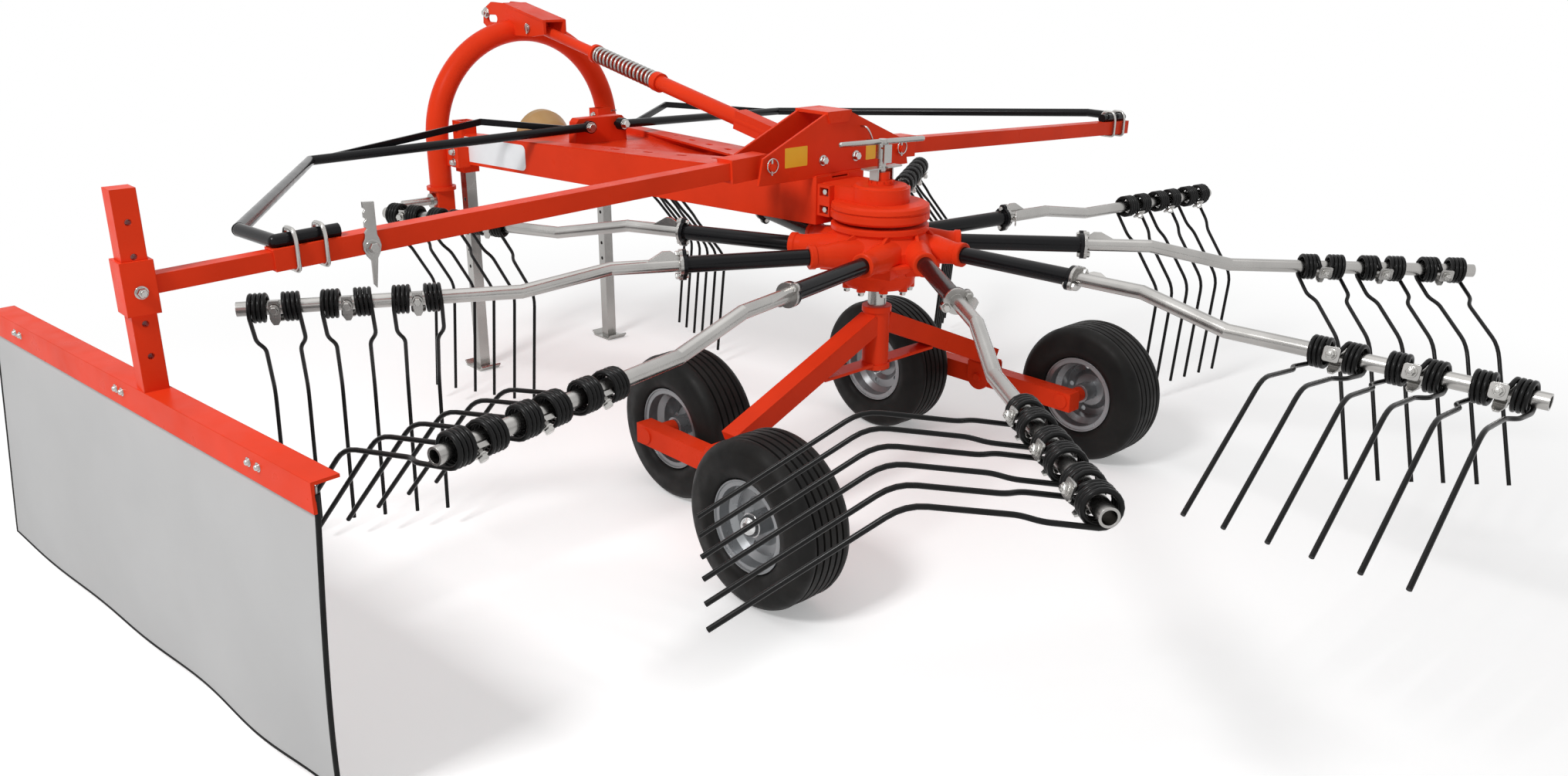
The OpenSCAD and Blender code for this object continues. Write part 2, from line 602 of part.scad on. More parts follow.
// Tapered neck of the hub casting with a collar at its mouth and a rib up to the hub's rim
module hub_neck() {
    rotate([0, 90, 0]) rotate_extrude() polygon([[0, 60], [42, 60], [38, 130], [neck_d / 2, 188],
        [neck_d / 2, socket_r - 19], [neck_d / 2 + 3, socket_r - 16], [neck_d / 2 + 3, socket_r - 2],
        [neck_d / 2, socket_r], [0, socket_r]]);
    translate([0, rib_t / 2, 0]) rotate([90, 0, 0]) linear_extrude(rib_t) polygon([
        [80, 0], [80, hub_top_z - arm_z - 12], [96, hub_top_z - arm_z - 12], [126, 36], [184, 25], [184, 0]]);
    translate([60, -28, -54]) cube([66, 56, 40]);
}

module rotor_hub() color(red) at_rotor() difference() {
    union() {
        translate([0, 0, hub_bottom_z]) rotate_extrude() polygon([[0, 0], [92, 0], [98, 8], [104, 34], [136, 56],
            [hub_body_r, 78], [hub_body_r, 112], [124, 146], [hub_r - 6, 151], [hub_r, 155],
            [hub_r, hub_top_z - hub_bottom_z - 3], [hub_r - 4, hub_top_z - hub_bottom_z],
            [0, hub_top_z - hub_bottom_z]]);
        for (i = [0 : arm_count - 1]) {
            at_socket(i) hub_neck();
            rotate([0, 0, arm_angles[i]]) translate([88, 0, hub_bottom_z - 5]) cylinder(d = 24, h = 40);
        }
        translate([0, 0, arm_z - 24]) cylinder(r = hub_body_r + 24, h = 8);
    }
    translate([0, 0, hub_bottom_z - 10]) cylinder(d = column_d + 2 * fit, h = 300);
    for (i = [0 : arm_count - 1]) at_socket(i) translate([socket_root, 0, 0]) rotate([0, 90, 0])
        cylinder(d = arm_tube_d, h = 2 * socket_r);
}

// Oval joint flange with an ear above and below the arm
module joint_flange(t) rotate([90, 0, 90]) linear_extrude(t) difference() {
    union() {
        circle(d = arm_tube_d + 18);
        square([2 * ear_r, 2 * ear_y], center = true);
        for (s = [-1, 1]) translate([0, s * ear_y]) circle(r = ear_r);
    }
    for (s = [-1, 1]) translate([0, s * ear_y]) circle(d = ear_hole_d);
}

bar_insert = 100;
module arm_tubes() color(black) at_rotor() for (i = [0 : arm_count - 1]) at_arm(i) difference() {
    union() {
        translate([socket_root, 0, 0]) rotate([0, 90, 0]) cylinder(d = arm_tube_d, h = joint_r - socket_root);
        translate([joint_r - flange_t, 0, 0]) joint_flange(flange_t);
    }
    translate([joint_r - bar_insert, 0, 0]) rotate([0, 90, 0]) cylinder(d = bar_d, h = 2 * bar_insert);
}

// Cranked tine bar with its joint flange, a fin behind the flange and a saddle for each double tine
fin_t = 8;
module tine_bar() difference() {
    union() {
        pipe([[joint_r - bar_insert, 0, 0], [crank_start_r, 0, 0], [crank_end_r, bar_side, -bar_drop],
            [bar_end_r, bar_side, -bar_drop]], bar_d);
        translate([joint_r, 0, 0]) joint_flange(flange_t - 2);
        translate([joint_r, fin_t / 2 + 6, 0]) rotate([90, 0, 0]) linear_extrude(fin_t) polygon([
            [4, 0], [4, ear_y - ear_r + 4], [30, ear_y + ear_r - 2], [50, ear_y + ear_r - 2], [96, bar_d / 2 - 6], [96, 0]]);
        for (k = [0 : tines_per_arm - 1]) translate([first_tine_r + k * tine_pitch, bar_side, -bar_drop]) saddle();
    }
    translate([bar_end_r - 60, bar_side, -bar_drop]) rotate([0, 90, 0]) cylinder(d = bar_d - 9, h = 70);
}
// Saddle between the two coils of a double tine, on the leading side of the bar
module saddle() {
    translate([1.5 - clamp_gap / 2, bar_d / 2 - 4, -20]) cube([clamp_gap - 3, 10, 40]);
    translate([0, bar_d / 2 + 5, 0]) rotate([-90, 0, 0]) cylinder(d = 18, h = 7);
}
module tine_bars() color(zinc) at_rotor() for (i = [0 : arm_count - 1]) at_arm(i) tine_bar();

// Leg of one tine: it leaves its coil to the trailing side, jogs towards its twin, bends and runs to the tip
leg_start = [bar_side - coil_r + 3, 12 - bar_drop];
leg_bend = [-129, -292];
leg_tip = [-101, tip_z - arm_z];
leg_jog = 16;
leg_lean = 15;
function on_leg(share) = leg_start + (leg_bend - leg_start) * share;
module tine_leg(s) wire([
    [0, on_leg(0)[0], on_leg(0)[1]], [0, on_leg(0.24)[0], on_leg(0.24)[1]],
    [-s * leg_jog, on_leg(0.33)[0], on_leg(0.33)[1]],
    [-s * leg_jog + leg_lean / 3, on_leg(0.94)[0], on_leg(0.94)[1]],
    [-s * leg_jog + leg_lean / 2, leg_bend[0], leg_bend[1] - 26],
    [-s * leg_jog + leg_lean, leg_tip[0], leg_tip[1]]], wire_d);

// Outline of a close-wound coil, as seen cut along its axis
function coil_outline(inner, mid, wire, turns, steps = 5) = concat(
    [[inner, -turns * wire / 2]],
    [for (k = [0 : turns - 1], j = [0 : steps - 1]) let (a = -72 + 144 * j / (steps - 1))
        [mid + wire / 2 * cos(a), (k - (turns - 1) / 2) * wire + wire / 2 * sin(a)]],
    [[inner, turns * wire / 2]]);
module coil() translate([0, bar_side, -bar_drop]) rotate([0, 90, 0]) rotate_extrude()
    polygon(coil_outline(bar_d / 2, coil_r, wire_d, coil_turns));

module each_tine() for (i = [0 : arm_count - 1]) at_arm(i)
    for (k = [0 : tines_per_arm - 1], s = [-1, 1])
        translate([first_tine_r + k * tine_pitch + s * (clamp_gap + coil_len) / 2, 0, 0]) {
            $side = s;
            children();
        }
module tine_coils() color(black) at_rotor() each_tine() coil();
module tine_legs() color(black) at_rotor() each_tine()
    translate([$side * (coil_len - wire_d) / 2, 0, 0]) tine_leg($side);

// Boom: square tube on a pivot between the mast's plates, with a root sleeve
boom_dir = [0, cos(boom_slope), -sin(boom_slope)];
boom_len = (boom_end_y - boom_pivot_y) / cos(boom_slope);
root_len = 115;
root_w = 60;
function on_boom(s) = boom_foot + boom_dir * s;

module boom() {
    difference() {
        union() {
            square_bar(on_boom(0), on_boom(boom_len), boom_w, boom_w);
            square_bar(on_boom(-8), on_boom(root_len), root_w, root_w);
            rod(boom_foot - fold_axis * 34, boom_foot + fold_axis * 34, 54);
        }
        square_bar(on_boom(boom_len - 500), on_boom(boom_len + 5), boom_w - 8, boom_w - 8);
    }
    rod(boom_foot - fold_axis * (mast_gap / 2 + 24), boom_foot + fold_axis * (mast_gap / 2 + 24),
        boom_pin_d - 2 * fit);
}
module boom_left() color(red) at_rotor() boom();
module boom_right() color(red) at_rotor() mirror([0, 1, 0]) boom();

// Guard rail from the frame's middle round to the end of its boom, with a flat brace on its front side
guard_d = 28;
guard_seat = 2;
guard_z = on_boom(boom_len)[2] + boom_w / 2 + guard_d / 2 - guard_seat;
guard_bend = [arch_x - 332, 940, beam_base_z + 107];
brace_bend = [arch_x - 341, 377, beam_base_z + 174];
brace_h = 20;
brace_t = 8;
clamp_len = 130;
guard_points = [guard_pivot, guard_bend, [boom_x + 150, boom_end_y, guard_z], [boom_x, boom_end_y - 12, guard_z],
    [boom_x, boom_end_y - 12 - clamp_len, guard_z + clamp_len * tan(boom_slope)]];
brace_start = guard_pivot + (guard_bend - guard_pivot) * 0.075;
brace_end = guard_pivot + (guard_bend - guard_pivot) * 0.96;
module guard() difference() {
    union() {
        pipe(guard_points, guard_d);
        rod(guard_pivot - fold_axis * 12, guard_pivot + fold_axis * 12, 40);
        rod(guard_pivot, guard_pivot + fold_axis * 82, guard_pin_d - 2 * fit);
        square_bar(brace_start, brace_bend, brace_t, brace_h);
        square_bar(brace_bend, brace_end, brace_t, brace_h);
        translate(brace_bend - [0, 0, brace_h / 2]) cylinder(d = brace_t, h = brace_h);
    }
    square_bar(on_boom(0), on_boom(boom_len), boom_w, boom_w);
}
module guard_left() color(black) at_rotor() guard();
module guard_right() color(black) at_rotor() mirror([0, 1, 0]) guard();

post_at_z = on_boom((post_y - boom_pivot_y) / cos(boom_slope))[2];
sleeve_h = 100;
module boom_extension() color(red) at_rotor() {
    square_bar(on_boom(boom_len - 350), on_boom((post_y - boom_pivot_y) / cos(boom_slope) - 24),
        boom_w - 8 - 2 * run_gap, boom_w - 8 - 2 * run_gap);
    translate([boom_x, post_y, post_at_z]) difference() {
        cube([post_w + 14, post_w + 14, sleeve_h], center = true);
        cube([post_w + 2 * run_gap, post_w + 2 * run_gap, 3 * sleeve_h], center = true);
    }
}

// Post with a row of holes, and an angle rail from which the curtain hangs
rail_front = 800;
rail_rear = 620;
post_w = 44;
post_rise = 180;
post_pitch = 62.5;
module at_rail() translate([boom_x, post_y, 0]) rotate([0, 0, curtain_toe]) children();
module curtain_post() color(red) at_rotor() {
    difference() {
        translate([boom_x - post_w / 2, post_y - post_w / 2, rail_z - 4])
            cube([post_w, post_w, post_at_z + post_rise - rail_z + 4]);
        for (i = [-2 : 2]) translate([boom_x, post_y, post_at_z - 5 + post_pitch * i]) rotate([0, 90, 0])
            cylinder(d = 12, h = 2 * post_w, center = true);
    }
    at_rail() {
        translate([-rail_rear, -25, rail_z - 6]) cube([rail_front + rail_rear, 50, 6]);
        translate([-rail_rear, 19, rail_z - 55]) cube([rail_front + rail_rear, 6, 55]);
    }
}
// The curtain leans with its rail: its front edge rakes forward and its rear edge is cut back
module curtain() color(curtain_grey) at_rotor() at_rail()
    translate([0, 19, 0]) rotate([90, 0, 0]) linear_extrude(6) polygon([
        [-rail_rear, rail_z - 10], [rail_front, rail_z - 10], [rail_front + 200, curtain_gap],
        [80 - rail_rear, curtain_gap]]);

// Every node, and the one to draw

main_frame();
mast();
headstock_arch();
hitch_pins();
top_strut();
strut_rod();
strut_spring();
strut_pins();
gearbox();
height_crank();
column();
axle_frame();
pto_shaft();
pto_guard();
rotor_hub();
arm_tubes();
tine_bars();
tine_coils();
tine_legs();
stand_left();
stand_right();
boom_left();
guard_left();
boom_right();
guard_right();
boom_extension();
curtain_post();
curtain();
bogie_left();
bogie_right();
tyre_rear_left();
tyre_rear_right();
tyre_front_left();
tyre_front_right();
rim_rear_left();
rim_rear_right();
rim_front_left();
rim_front_right();
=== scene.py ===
"""Single rotor rotary hay rake: finishes, spring tines, fasteners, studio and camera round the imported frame.

Lengths are in metres. +X is the way of travel, +Y the machine's left, +Z up, ground at Z = 0.
"""
import json
import math

import bmesh
import bpy
from mathutils import Matrix, Vector


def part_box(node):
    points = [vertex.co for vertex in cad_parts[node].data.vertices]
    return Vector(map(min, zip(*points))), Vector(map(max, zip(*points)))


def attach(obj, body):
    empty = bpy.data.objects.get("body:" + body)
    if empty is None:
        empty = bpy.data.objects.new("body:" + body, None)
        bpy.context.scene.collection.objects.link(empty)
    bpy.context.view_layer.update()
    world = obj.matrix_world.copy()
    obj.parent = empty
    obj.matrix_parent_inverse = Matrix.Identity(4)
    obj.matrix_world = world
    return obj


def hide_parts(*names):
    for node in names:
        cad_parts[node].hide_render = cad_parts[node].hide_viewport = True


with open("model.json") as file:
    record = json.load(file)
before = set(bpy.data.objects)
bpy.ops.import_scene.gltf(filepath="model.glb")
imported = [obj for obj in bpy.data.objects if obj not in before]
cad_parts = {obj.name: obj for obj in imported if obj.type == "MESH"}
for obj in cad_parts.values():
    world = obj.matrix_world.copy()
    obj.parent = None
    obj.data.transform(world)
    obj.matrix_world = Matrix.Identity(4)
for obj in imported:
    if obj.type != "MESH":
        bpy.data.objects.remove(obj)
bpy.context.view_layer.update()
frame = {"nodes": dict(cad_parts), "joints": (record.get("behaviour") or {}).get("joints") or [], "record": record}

NODES = frame["nodes"]
JOINTS = {joint["name"]: joint for joint in frame["joints"]}
ROTOR = Vector((JOINTS["rotor_spin"]["pos_m"][0], JOINTS["rotor_spin"]["pos_m"][1], 0))

# The photograph's frame and the fitted camera, placed from the rotor's axis
PHOTO_SIZE = (2032, 1005)
FOCAL_PX = 1570.5
CAMERA_FROM_ROTOR = Vector((-2.146, 2.388, 1.438))
CAMERA_YAW = math.radians(-43.56)
CAMERA_PITCH = math.radians(19.71)
CAMERA_ROLL = math.radians(0.57)

# Rotor arms, as in the frame
ARM_COUNT = 9
ARM_START = 62.6
ARM_Z = 0.700
ARM_OFFSET = 0.079
LIFT_ANGLE = 61.5
CAM_RISE = (65, 116)
CAM_FALL = (200, 250)
JOINT_R = 0.555
FLANGE_FACES = (JOINT_R - 0.010, JOINT_R + 0.008)
EAR_OFFSET = 0.028
BAR_END_R = 1.593
BAR_SIDE = 0.029
BAR_DROP = 0.036
SADDLE_END = 0.029
LINCH_PIN_ARM = 5
HUB_BOLTS_R = 0.088
HUB_BOLTS_Z = 0.5925

# Double tines: placed as in the frame, with the wire, the coils and the legs' upper run as in the photograph
TINES_PER_ARM = 3
TINE_PITCH = 0.157
LAST_TINE_R = BAR_END_R - 0.082
CLAMP_GAP = 0.026
WIRE_D = 0.010
COIL_R = 0.030
COIL_TURNS = 4
COIL_PITCH = 1.02 * WIRE_D
COIL_END = math.radians(165)
LEG_JOG_SHARES = (0.30, 0.40)
LEG_BEND = (-0.129, -0.292)
LEG_TIP = (-0.101, -0.642)
LEG_JOG = 0.016
LEG_LEAN = 0.015
KEEPER_TURN = math.radians(45)
KEEPER_T = 0.004

# Mast's rear and front faces, booms from their pivots, and what sits along them
MAST_FACES = (0.1625, 0.2775)
BOOM_X, BOOM_Y, BOOM_Z = 0.220, 0.240, 0.916
BOOM_SLOPE = math.radians(2.2)
CLAMPS_Y = (1.482, 1.423)
STRAP_Y = 1.328
POST_Y = 1.772
STAND_X, STAND_Y = 1.674, 0.283

# Rail of the curtain, turned about its post, and its screws
RAIL_TURN = math.radians(5.5)
RAIL_SCREWS_X = (-0.447, -0.414, 0.090, 0.119, 0.625, 0.655)
RAIL_SCREWS_Z = 0.636

# Strut between the mast and the headstock, and the share of it that the spring takes
STRUT_ENDS = ((0.380, 0, 0.944), (1.615, 0, 1.188))
SPRING_SHARE = (0.47, 0.72)

# Tyres: radius at the bead, and drop of the crown per square of the distance from its middle
BEAD_R = 0.1015
CROWN = 1.2

# Light
WORLD_LIGHT = 0.36
FLOOR_GLOW = 0.30
FLOOR_FADE = (1.6, 3.4)
KEY_POWER, TOP_POWER = 180, 45


def at(x, y, z):
    """A point given from the rotor's axis, in the machine's frame."""
    return ROTOR + Vector((x, y, z))


# Materials

def new_material(name, colour, rough, metallic=0.0, specular=0.5):
    material = bpy.data.materials.new(name)
    material.use_nodes = True
    shader = material.node_tree.nodes["Principled BSDF"]
    shader.inputs["Base Color"].default_value = (*colour, 1)
    shader.inputs["Roughness"].default_value = rough
    shader.inputs["Metallic"].default_value = metallic
    shader.inputs["Specular IOR Level"].default_value = specular
    return material


def noise(material, scale, detail=4.0):
    """A noise texture in the object's own metres."""
    nodes, links = material.node_tree.nodes, material.node_tree.links
    coords = nodes.new("ShaderNodeTexCoord")
    texture = nodes.new("ShaderNodeTexNoise")
    texture.inputs["Scale"].default_value = scale
    texture.inputs["Detail"].default_value = detail
    links.new(coords.outputs["Object"], texture.inputs["Vector"])
    return texture.outputs["Fac"]


def tint(colour, factor):
    return [min(1, c * factor) for c in colour]


def vary_colour(material, fac, dark, light):
    """Moves the base colour between two tints with a texture."""
    nodes, links = material.node_tree.nodes, material.node_tree.links
    ramp = nodes.new("ShaderNodeValToRGB")
    ramp.color_ramp.elements[0].position = 0.3
    ramp.color_ramp.elements[1].position = 0.7
    ramp.color_ramp.elements[0].color = (*dark, 1)
    ramp.color_ramp.elements[1].color = (*light, 1)
    links.new(fac, ramp.inputs["Fac"])
    links.new(ramp.outputs["Color"], nodes["Principled BSDF"].inputs["Base Color"])


def vary_roughness(material, fac, low, high):
    nodes, links = material.node_tree.nodes, material.node_tree.links
    spread = nodes.new("ShaderNodeMapRange")
    spread.inputs["From Min"].default_value = 0.3
    spread.inputs["From Max"].default_value = 0.7
    spread.inputs["To Min"].default_value = low
    spread.inputs["To Max"].default_value = high
    links.new(fac, spread.inputs["Value"])
    links.new(spread.outputs["Result"], nodes["Principled BSDF"].inputs["Roughness"])


def relief(material, fac, strength, depth, edge_radius=0.0):
    """Fine bump on the surface, with softened edges where a radius is given."""
    nodes, links = material.node_tree.nodes, material.node_tree.links
    bump = nodes.new("ShaderNodeBump")
    bump.inputs["Strength"].default_value = strength
    bump.inputs["Distance"].default_value = depth
    links.new(fac, bump.inputs["Height"])
    if edge_radius:
        bevel = nodes.new("ShaderNodeBevel")
        bevel.samples = 4
        bevel.inputs["Radius"].default_value = edge_radius
        links.new(bevel.outputs["Normal"], bump.inputs["Normal"])
    links.new(bump.outputs["Normal"], nodes["Principled BSDF"].inputs["Normal"])


def paint(name, colour, rough, specular, edge=0.0025):
    """Sprayed enamel: slight mottling, orange peel and soft edges."""
    material = new_material(name, colour, rough, specular=specular)
    vary_colour(material, noise(material, 5, 3), tint(colour, 0.9), tint(colour, 1.06))
    vary_roughness(material, noise(material, 18, 5), rough * 0.8, rough * 1.25)
    relief(material, noise(material, 420, 2), 0.06, 0.0006, edge)
    return material


def bright_metal(name, colour, rough, edge=0.0015):
    """Zinc or bare steel, with faint clouds and handling marks."""
    material = new_material(name, colour, rough, metallic=1.0)
    vary_colour(material, noise(material, 7, 4), tint(colour, 0.84), tint(colour, 1.08))
    vary_roughness(material, noise(material, 14, 2), rough * 0.85, rough * 1.2)
    relief(material, noise(material, 90, 2), 0.012, 0.0004, edge)
    return material


def tyre_rubber():
    material = new_material("tyre_rubber", (0.009, 0.009, 0.009), 0.50, specular=0.14)
    vary_colour(material, noise(material, 12, 6), (0.007, 0.007, 0.007), (0.016, 0.015, 0.014))
    vary_roughness(material, noise(material, 30, 6), 0.40, 0.62)
    relief(material, noise(material, 320, 5), 0.18, 0.0008)
    return material


def rim_silver():
    material = paint("rim_silver", (0.30, 0.31, 0.32), 0.30, 0.25)
    material.node_tree.nodes["Principled BSDF"].inputs["Metallic"].default_value = 0.55
    return material


def curtain_cloth():
    """Coated cloth: a fine weave under a satin coat."""
    material = new_material("curtain_cloth", (0.50, 0.50, 0.50), 0.62, specular=0.2)
    vary_colour(material, noise(material, 3, 4), (0.48, 0.48, 0.48), (0.52, 0.52, 0.52))
    nodes, links = material.node_tree.nodes, material.node_tree.links
    coords = nodes.new("ShaderNodeTexCoord")
    weave = nodes.new("ShaderNodeTexChecker")
    weave.inputs["Scale"].default_value = 900
    links.new(coords.outputs["Object"], weave.inputs["Vector"])
    relief(material, weave.outputs["Fac"], 0.10, 0.0003)
    return material


def tan_plastic():
    material = new_material("tan_plastic", (0.46, 0.30, 0.12), 0.38, specular=0.3)
    vary_colour(material, noise(material, 8, 4), (0.40, 0.26, 0.10), (0.50, 0.33, 0.14))
    relief(material, noise(material, 300, 3), 0.08, 0.0005, 0.002)
    return material


def decal(name, colour):
    material = new_material(name, colour, 0.35, specular=0.25)
    vary_colour(material, noise(material, 14, 3), tint(colour, 0.95), colour)
    relief(material, noise(material, 500, 2), 0.04, 0.0003)
    return material


RED = paint("orange_red_enamel", (0.80, 0.047, 0.012), 0.32, 0.05)
BLACK = paint("gloss_black_enamel", (0.007, 0.007, 0.008), 0.20, 0.16)
TINE = paint("tine_black", (0.007, 0.007, 0.007), 0.28, 0.16, edge=0.0)
ZINC = bright_metal("zinc_plate", (0.42, 0.41, 0.395), 0.24)
BOLT = bright_metal("bolt_zinc", (0.50, 0.49, 0.47), 0.20)
RUBBER = tyre_rubber()
RIM = rim_silver()
CLOTH = curtain_cloth()
HEM = paint("hem_black", (0.010, 0.010, 0.010), 0.6, 0.15, edge=0.0)
TAN = tan_plastic()
YELLOW = decal("decal_yellow", (0.94, 0.52, 0.03))
WHITE = decal("decal_white", (0.92, 0.94, 0.96))
CHROME = bright_metal("cap_chrome", (0.62, 0.62, 0.62), 0.10)

SLOT_MATERIALS = {
    "red_paint": RED, "black_paint": BLACK, "zinc": ZINC, "tyre": RUBBER,
    "rim_paint": RIM, "curtain_sheet": CLOTH, "tan_plastic": TAN,
}
for subpart in frame["record"]["subparts"]:
    mesh = NODES[subpart["node"]].data
    mesh.materials.clear()
    mesh.materials.append(SLOT_MATERIALS[subpart["material_slot"]])


# Shapes

def unit_frame(direction):
    """Two unit vectors square to a direction and to each other."""
    direction = direction.normalized()
    side = direction.cross(Vector((0, 0, 1)))
    if side.length < 1e-4:
        side = Vector((1, 0, 0))
    side.normalize()
    return side, direction.cross(side).normalized()


class Piece:
    """Shapes gathered into one mesh, which then rides on a body."""

    def __init__(self, name, body, material, slot):
        self.name, self.body, self.material, self.slot = name, body, material, slot
        self.bm = bmesh.new()
        self.place = Matrix.Identity(4)

    def skin(self, rings, loop=False):
        """Joins equal rings of points into a surface, closed at both ends unless it loops."""
        made = [[self.bm.verts.new(self.place @ Vector(p)) for p in ring] for ring in rings]
        count = len(made[0])
        pairs = list(zip(made, made[1:])) + ([(made[-1], made[0])] if loop else [])
        for low, high in pairs:
            for k in range(count):
                n = (k + 1) % count
                self.bm.faces.new((low[k], low[n], high[n], high[k]))
        if not loop:
            self.bm.faces.new(list(reversed(made[0])))
            self.bm.faces.new(made[-1])

    def tube(self, points, radius, sides=12):
        """A round bar swept along points, turning without twist."""
        points = [Vector(p) for p in points]
        last = len(points) - 1
        heading = (points[1] - points[0]).normalized()
        side, up = unit_frame(heading)
        rings = []
        for i, point in enumerate(points):
            ahead = (points[min(i + 1, last)] - points[max(i - 1, 0)]).normalized()
            turn = heading.rotation_difference(ahead)
            side, up, heading = turn @ side, turn @ up, ahead
            rings.append([point + radius * (math.cos(a) * side + math.sin(a) * up)
                          for a in (2 * math.pi * k / sides for k in range(sides))])
        self.skin(rings)

    def revolve(self, outline, centre, axis, steps=48, loop=False):
        """Turns an outline of (radius, height along the axis) about the axis."""
        axis = Vector(axis).normalized()
        side, up = unit_frame(axis)
        rings = [[Vector(centre) + h * axis + r * (math.cos(a) * side + math.sin(a) * up)
                  for a in (2 * math.pi * k / steps for k in range(steps))] for r, h in outline]
        self.skin(rings, loop)

    def prism(self, outline, thickness, origin, across, up):
        """A flat plate: an outline in the plane of two directions, thick along their cross product."""
        across, up = Vector(across).normalized(), Vector(up).normalized()
        normal = across.cross(up).normalized()
        faces = [[Vector(origin) + x * across + y * up + h * normal for x, y in outline]
                 for h in (0, thickness)]
        self.skin(faces)

    def bolt(self, point, axis, across=0.019, head=None, washer=True, shank=0.0):
        """A hexagon bolt head on a washer, standing along the axis."""
        axis = Vector(axis).normalized()
        point = Vector(point)
        head = head or 0.62 * across
        if washer:
            self.revolve([(0.3 * across, -0.001), (0.72 * across, -0.001), (0.74 * across, 0.0008),
                          (0.72 * across, 0.0026), (0.3 * across, 0.0026)], point, axis, 24)
        base = 0.0026 if washer else 0.0
        corner = across / 2 / math.cos(math.pi / 6)
        side, up = unit_frame(axis)
        rings = []
        for reach, height in ((1.0, base), (1.0, base + 0.82 * head), (0.86, base + head)):
            rings.append([point + height * axis + reach * corner * (math.cos(a) * side + math.sin(a) * up)
                          for a in (math.pi / 3 * k for k in range(6))])
        self.skin(rings)
        if shank:
            self.revolve([(0.3 * across, base + head - 0.002), (0.3 * across, base + head + shank * 0.9),
                          (0.24 * across, base + head + shank)], point, axis, 16)

    def done(self, replaced=(), angle=35):
        bmesh.ops.recalc_face_normals(self.bm, faces=self.bm.faces)
        mesh = bpy.data.meshes.new(self.name)
        self.bm.to_mesh(mesh)
        self.bm.free()
        mesh.materials.append(self.material)
        mesh.shade_smooth()
        mesh.set_sharp_from_angle(angle=math.radians(angle))
        piece = bpy.data.objects.new(self.name, mesh)
        bpy.context.scene.collection.objects.link(piece)
        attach(piece, self.body)
        if replaced:
            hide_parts(*replaced)
        return piece


# Tines

def cam_share(angle):
    """Share of the full lift that the cam gives an arm at an angle round the rotor."""
    if angle < CAM_FALL[0]:
        return min(1.0, max(0.0, (angle - CAM_RISE[0]) / (CAM_RISE[1] - CAM_RISE[0])))
    return max(0.0, (CAM_FALL[1] - angle) / (CAM_FALL[1] - CAM_FALL[0]))


def arm_matrix(index):
    """Places an arm: its own X runs outward, Y ahead in the turning sense, Z up before the cam lifts it."""
    angle = ARM_START + index * 360 / ARM_COUNT
    return (Matrix.Translation(ROTOR + Vector((0, 0, ARM_Z))) @ Matrix.Rotation(math.radians(angle), 4, "Z")
            @ Matrix.Translation((0, ARM_OFFSET, 0))
            @ Matrix.Rotation(math.radians(-LIFT_ANGLE * cam_share(angle)), 4, "X"))


def smooth_bends(points, radius, steps=4):
    """Rounds the corners of a path of points."""
    points = [Vector(p) for p in points]
    path = [points[0]]
    for before, corner, after in zip(points, points[1:], points[2:]):
        back, ahead = (before - corner), (after - corner)
        cut = min(radius, 0.45 * back.length, 0.45 * ahead.length)
        start, end = corner + back.normalized() * cut, corner + ahead.normalized() * cut
        for k in range(steps + 1):
            t = k / steps
            path.append(start * (1 - t) ** 2 + corner * 2 * t * (1 - t) + end * t ** 2)
    path.append(points[-1])
    return path


def on_coil(angle):
    """The coil's wire at an angle round the bar: ahead and up, in an arm's own frame."""
    return Vector((BAR_SIDE + COIL_R * math.cos(angle), COIL_R * math.sin(angle) - BAR_DROP))


def half_tine(side):
    """One half of a double tine, from its tip, round its coil, to the loop between the two coils."""
    slant = Vector((LEG_BEND[0] - BAR_SIDE - COIL_R, LEG_BEND[1] + BAR_DROP)).normalized()
    leave = math.atan2(slant.x, -slant.y)
    leave_at = on_coil(leave)
    sweep = 2 * math.pi * (COIL_TURNS - 1) + (COIL_END - leave) % (2 * math.pi)
    inner_x = side * (CLAMP_GAP / 2 + WIRE_D / 2)
    outer_x = inner_x + side * COIL_PITCH * sweep / (2 * math.pi)
    bend = Vector(LEG_BEND)
    on_leg = [leave_at.lerp(bend, share) for share in (0.0, *LEG_JOG_SHARES, 1.0)]
    shifts = (0.0, 0.0, -side * LEG_JOG, -side * LEG_JOG + LEG_LEAN / 2)
    leg = [Vector((outer_x + shift, p.x, p.y)) for shift, p in zip(shifts, on_leg)]
    leg.append(Vector((outer_x - side * LEG_JOG + LEG_LEAN, *LEG_TIP)))
    path = smooth_bends(list(reversed(leg)), 0.035)
    path.pop()
    steps_per_turn = 18
    steps = round(sweep / (2 * math.pi) * steps_per_turn)
    for k in range(steps + 1):
        a = leave + sweep * k / steps
        x = outer_x + (inner_x - outer_x) * k / steps
        path.append(Vector((x, *on_coil(a))))
    for degrees, share in ((190, 0.88), (208, 0.65), (220, 0.35), (225, 0.1)):
        path.append(Vector((share * inner_x, *on_coil(math.radians(degrees)))))
    return path


def make_tines():
    """The double tines of each arm, as wound wire."""
    near, far = half_tine(-1), half_tine(1)
    whole = near + list(reversed(far))
    for index in range(ARM_COUNT):
        piece = Piece(f"tines_arm_{index + 1}", "rotor", TINE, "black_paint")
        for k in range(TINES_PER_ARM):
            piece.place = arm_matrix(index) @ Matrix.Translation((LAST_TINE_R - k * TINE_PITCH, 0, 0))
            piece.tube(whole, WIRE_D / 2, 10)
        piece.done(("tine_coils", "tine_legs") if index == 0 else (), 50)


